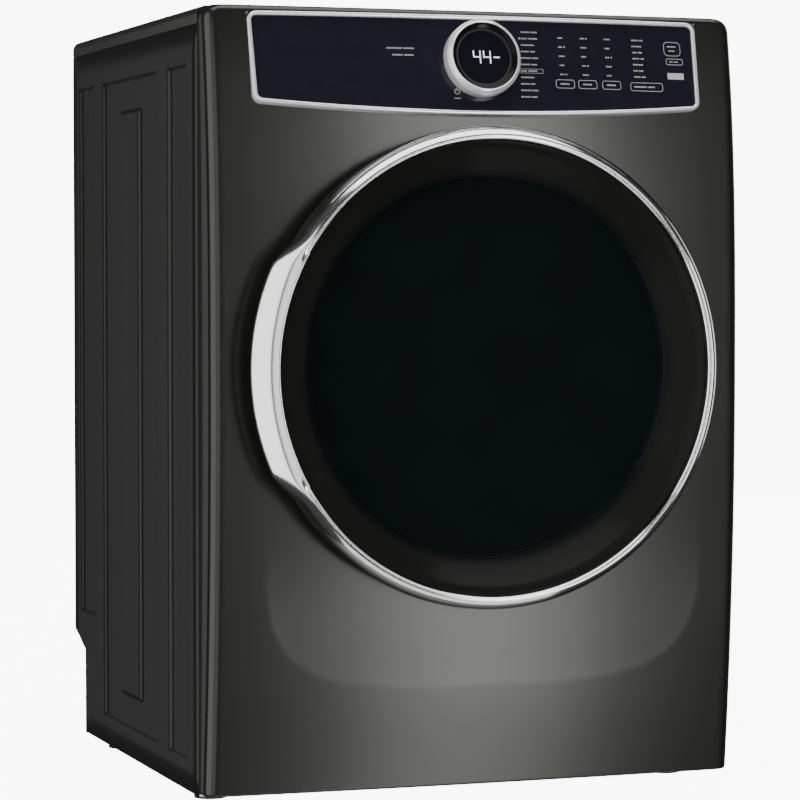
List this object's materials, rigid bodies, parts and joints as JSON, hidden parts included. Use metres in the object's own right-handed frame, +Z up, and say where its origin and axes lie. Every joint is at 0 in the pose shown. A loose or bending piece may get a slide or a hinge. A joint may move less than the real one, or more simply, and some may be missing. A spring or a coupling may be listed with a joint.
{
  "type": "clothes dryer",
  "caption": "Front-loading clothes dryer with a round window door, a tilted control console with a central dial, a belt-driven drum and a rear exhaust",
  "frame": {"origin": "middle of the footprint, on the floor under the feet", "axes": "+Z up, the door and console face -Y, +X is the right side as the user sees it from the front"},
  "size_m": [0.686, 0.79, 0.965],
  "materials": {
    "cabinet_paint": "glossy dark titanium metallic paint",
    "galvanised_steel": "galvanised sheet",
    "bright_steel": "machined",
    "drum_enamel": "light grey baked enamel",
    "baffle_plastic": "moulded grey",
    "chrome_trim": "bright plated",
    "gloss_black": "piano black",
    "window_glass": "dark tinted, gloss",
    "display_glass": "smoked lens",
    "black_plastic": "fine texture",
    "white_plastic": "moulded off-white",
    "black_rubber": "matte",
    "grey_felt": "pressed felt",
    "filter_mesh": "fine woven mesh",
    "circuit_green": "circuit laminate",
    "heater_wire": "oxidised resistance wire",
    "bearing_plastic": "natural nylon",
    "motor_paint": "black enamel",
    "cable_jacket": "taped harness"
  },
  "bodies": {
    "cabinet": {"base_pan": "galvanised_steel", "blower_housing": "white_plastic", "cabinet_screws": "bright_steel", "console_backer": "black_plastic", "console_face": "gloss_black", "console_rim": "chrome_trim", "control_board": "circuit_green", "display_housing": "black_plastic", "display_lens": "display_glass", "door_catch": "black_plastic", "door_switch": "black_plastic", "door_throat": "white_plastic", "drive_belt": "black_rubber", "drum_bearing": "bearing_plastic", "exhaust_duct": "galvanised_steel", "front_bulkhead": "galvanised_steel", "front_drum_seal": "grey_felt", "front_panel": "cabinet_paint", "heater_coil": "heater_wire", "heater_housing": "galvanised_steel", "hinge_fixed_leaf": "galvanised_steel", "hinge_pin": "bright_steel", "idler_bracket": "galvanised_steel", "idler_spring": "bright_steel", "left_side_panel": "cabinet_paint", "lint_duct": "white_plastic", "motor_housing": "motor_paint", "motor_mount": "galvanised_steel", "rear_access_cover": "galvanised_steel", "rear_bulkhead": "galvanised_steel", "rear_drum_seal": "grey_felt", "rear_panel": "galvanised_steel", "right_side_panel": "cabinet_paint", "terminal_block": "black_plastic", "top_panel": "cabinet_paint", "wire_harness": "cable_jacket"},
    "door": {"door_frame": "black_plastic", "door_trim_ring": "chrome_trim", "door_bezel": "gloss_black", "door_window": "window_glass", "door_liner": "white_plastic", "door_inner_glass": "window_glass", "door_seal": "black_rubber", "door_strike": "galvanised_steel", "hinge_moving_leaf": "galvanised_steel"},
    "drum": {"drum_shell": "drum_enamel", "drum_baffles": "baffle_plastic", "drum_shaft": "bright_steel"},
    "motor_rotor": {"motor_rotor_shaft": "bright_steel", "blower_wheel": "white_plastic"},
    "idler": {"idler_arm": "galvanised_steel"},
    "idler_roller": {"idler_wheel": "black_plastic"},
    "dial": {"program_dial": "chrome_trim"},
    "lint_filter": {"lint_filter_frame": "baffle_plastic", "lint_filter_screen": "filter_mesh"},
    "switch_plunger": {"door_switch_plunger": "white_plastic"},
    "foot_front_left": {"front_left_foot": "black_rubber"},
    "foot_front_right": {"front_right_foot": "black_rubber"},
    "foot_rear_left": {"rear_left_foot": "black_rubber"},
    "foot_rear_right": {"rear_right_foot": "black_rubber"}
  },
  "joints": [
    {"name": "door_hinge", "type": "hinge", "parent": "cabinet", "child": "door", "pos_m": [0.272, -0.37, 0.531], "axis": [0, 0, 1], "range_deg": [0, 110]},
    {"name": "drum_spin", "type": "hinge", "parent": "cabinet", "child": "drum", "pos_m": [0, 0.02, 0.575], "axis": [0, 1, 0], "continuous": true},
    {"name": "motor_spin", "type": "hinge", "parent": "cabinet", "child": "motor_rotor", "pos_m": [0.13, -0.07, 0.15], "axis": [0, 1, 0], "continuous": true},
    {"name": "idler_arm_swing", "type": "hinge", "parent": "cabinet", "child": "idler", "pos_m": [0.235, 0.084, 0.15], "axis": [0, 1, 0], "range_deg": [0, 10], "stiffness_Nm_per_rad": 4, "springref_deg": -20.05, "deforming": ["idler_spring"]},
    {"name": "idler_roller_spin", "type": "hinge", "parent": "idler", "child": "idler_roller", "pos_m": [0.1804, 0.07, 0.2026], "axis": [0, 1, 0], "continuous": true},
    {"name": "dial_turn", "type": "hinge", "parent": "cabinet", "child": "dial", "pos_m": [0, -0.325, 0.904], "axis": [0, -0.9751, 0.2215], "continuous": true},
    {"name": "lint_filter_slide", "type": "slide", "parent": "cabinet", "child": "lint_filter", "axis": [0, 0, 1], "range_m": [0, 0.2]},
    {"name": "door_switch_travel", "type": "slide", "parent": "cabinet", "child": "switch_plunger", "axis": [0, -1, 0], "range_m": [0, 0.0042]},
    {"name": "front_left_foot_screw", "type": "slide", "parent": "cabinet", "child": "foot_front_left", "axis": [0, 0, -1], "range_m": [0, 0.02]},
    {"name": "front_right_foot_screw", "type": "slide", "parent": "cabinet", "child": "foot_front_right", "axis": [0, 0, -1], "range_m": [0, 0.02]},
    {"name": "rear_left_foot_screw", "type": "slide", "parent": "cabinet", "child": "foot_rear_left", "axis": [0, 0, -1], "range_m": [0, 0.02]},
    {"name": "rear_right_foot_screw", "type": "slide", "parent": "cabinet", "child": "foot_rear_right", "axis": [0, 0, -1], "range_m": [0, 0.02]}
  ],
  "couplings": [
    {"joint": "motor_spin", "follows": "drum_spin", "ratio": 29.67},
    {"joint": "idler_roller_spin", "follows": "drum_spin", "ratio": -15.112},
    {"joint": "door_switch_travel", "follows": "door_hinge", "m_per_rad": 0.00208}
  ]
}
